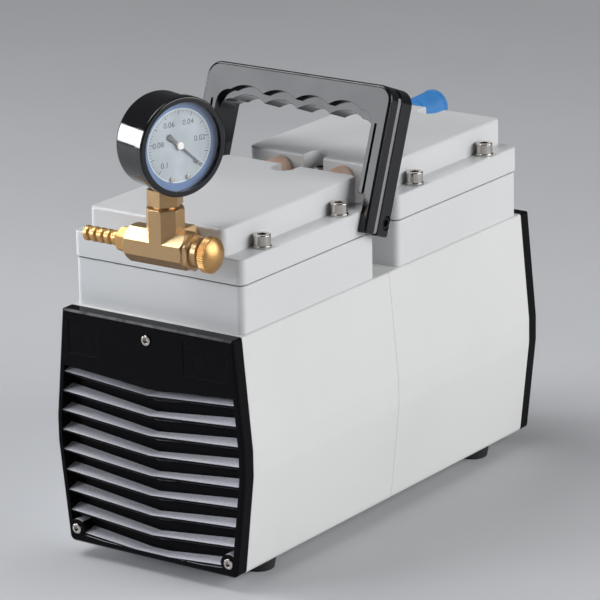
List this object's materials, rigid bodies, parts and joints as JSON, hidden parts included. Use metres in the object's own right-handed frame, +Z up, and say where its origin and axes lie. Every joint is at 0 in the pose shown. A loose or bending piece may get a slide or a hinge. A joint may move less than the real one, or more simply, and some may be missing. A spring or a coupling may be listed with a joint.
{
  "type": "diaphragm vacuum pump",
  "caption": "Portable twin-head diaphragm vacuum pump in a louvred housing, with carry handle, regulator valve, vacuum gauge, hose barb and exhaust silencer.",
  "frame": {"origin": "on the floor under the middle of the whole pump's box, gauge and silencer included", "axes": "+Z up, +Y from the front grille to the rear panel, +X right when facing the front grille"},
  "size_m": [0.13, 0.3672, 0.2845],
  "materials": {
    "housing_white": "satin white powder coat",
    "head_white": "satin light grey-white paint on castings",
    "black_panel": "gloss black moulding",
    "handle_black": "gloss black moulding",
    "rubber_black": "matt",
    "stainless": "bright stainless",
    "steel": "ground",
    "laminations": "dull, varnished",
    "copper_winding": "enamelled wire",
    "cast_aluminium": "as cast",
    "brass": "satin, machined",
    "knob_brass": "polished",
    "silicone_tan": "translucent silicone",
    "diaphragm_rubber": "fabric-backed rubber",
    "gauge_black": "gloss black",
    "gauge_glass": "clear",
    "dial_face": "printed, pale blue",
    "pointer": "bright",
    "silencer_blue": "satin blue",
    "fan_plastic": "moulded",
    "electrical_black": "moulded",
    "rocker_red": "moulded",
    "black_steel": "black oxide",
    "pin_brass": "bright"
  },
  "bodies": {
    "pump_body": {"front_casing": "housing_white", "rear_casing": "housing_white", "front_grille": "black_panel", "rear_panel": "black_panel", "panel_screws": "stainless", "rubber_feet": "rubber_black", "foot_screws": "stainless", "front_cylinder_block": "head_white", "rear_cylinder_block": "head_white", "front_head_cover": "head_white", "rear_head_cover": "head_white", "valve_plates": "cast_aluminium", "reed_valves": "steel", "front_diaphragm": "diaphragm_rubber", "rear_diaphragm": "diaphragm_rubber", "head_screws": "stainless", "head_washers": "stainless", "stator_core": "laminations", "stator_windings": "copper_winding", "motor_end_bells": "cast_aluminium", "motor_capacitor": "cast_aluminium", "capacitor_clip": "steel", "shaft_bearings": "steel", "intake_tube": "silicone_tan", "exhaust_tube": "silicone_tan", "head_gaskets": "rubber_black", "port_fittings": "brass", "valve_body": "brass", "inlet_nipple": "brass", "hose_barb": "knob_brass", "packing_nut": "brass", "gauge_socket": "brass", "gauge_case": "gauge_black", "gauge_bezel": "gauge_black", "gauge_glass": "gauge_glass", "gauge_dial": "dial_face", "gauge_fixings": "stainless", "bourdon_tube": "brass", "silencer": "silencer_blue", "silencer_stub": "brass", "handle_pivot_screws": "black_steel", "mains_inlet": "electrical_black", "inlet_pins": "pin_brass", "switch_body": "electrical_black"},
    "drive_shaft": {"motor_shaft": "steel", "rotor_core": "laminations", "front_eccentric": "steel", "rear_eccentric": "steel", "cooling_fans": "fan_plastic"},
    "front_rod": {"front_connecting_rod": "cast_aluminium", "front_rod_bearing": "steel", "front_diaphragm_clamp": "cast_aluminium"},
    "rear_rod": {"rear_connecting_rod": "cast_aluminium", "rear_rod_bearing": "steel", "rear_diaphragm_clamp": "cast_aluminium"},
    "handle": {"handle": "handle_black"},
    "knob": {"regulator_knob": "knob_brass", "valve_needle": "steel"},
    "pointer": {"gauge_needle": "pointer"},
    "rocker": {"switch_rocker": "rocker_red"}
  },
  "joints": [
    {"name": "shaft_spin", "type": "hinge", "parent": "pump_body", "child": "drive_shaft", "pos_m": [0, 0.01046, 0.076], "axis": [0, 1, 0], "continuous": true, "deforming": ["front_diaphragm", "rear_diaphragm"]},
    {"name": "front_rod_pivot", "type": "hinge", "parent": "drive_shaft", "child": "front_rod", "pos_m": [0, -0.06554, 0.073], "axis": [0, 1, 0], "continuous": true},
    {"name": "rear_rod_pivot", "type": "hinge", "parent": "drive_shaft", "child": "rear_rod", "pos_m": [0, 0.08686, 0.079], "axis": [0, 1, 0], "continuous": true},
    {"name": "handle_tilt", "type": "hinge", "parent": "pump_body", "child": "handle", "pos_m": [0, 0.00106, 0.1792], "axis": [1, 0, 0], "range_deg": [-30, 28]},
    {"name": "knob_turn", "type": "hinge", "parent": "pump_body", "child": "knob", "pos_m": [0.05, -0.15154, 0.197], "axis": [1, 0, 0], "range_deg": [0, 720]},
    {"name": "pointer_swing", "type": "hinge", "parent": "pump_body", "child": "pointer", "pos_m": [0.03642, -0.15623, 0.2569], "axis": [0.9455, -0.3256, 0], "range_deg": [0, 264], "stiffness_Nm_per_rad": 0.0001, "springref_deg": -5.73},
    {"name": "rocker_throw", "type": "hinge", "parent": "pump_body", "child": "rocker", "pos_m": [-0.027, 0.15906, 0.124], "axis": [1, 0, 0], "range_deg": [-16, 0]}
  ],
  "couplings": [
    {"joint": "front_rod_pivot", "follows": "shaft_spin", "ratio": -1},
    {"joint": "rear_rod_pivot", "follows": "shaft_spin", "ratio": -1}
  ]
}
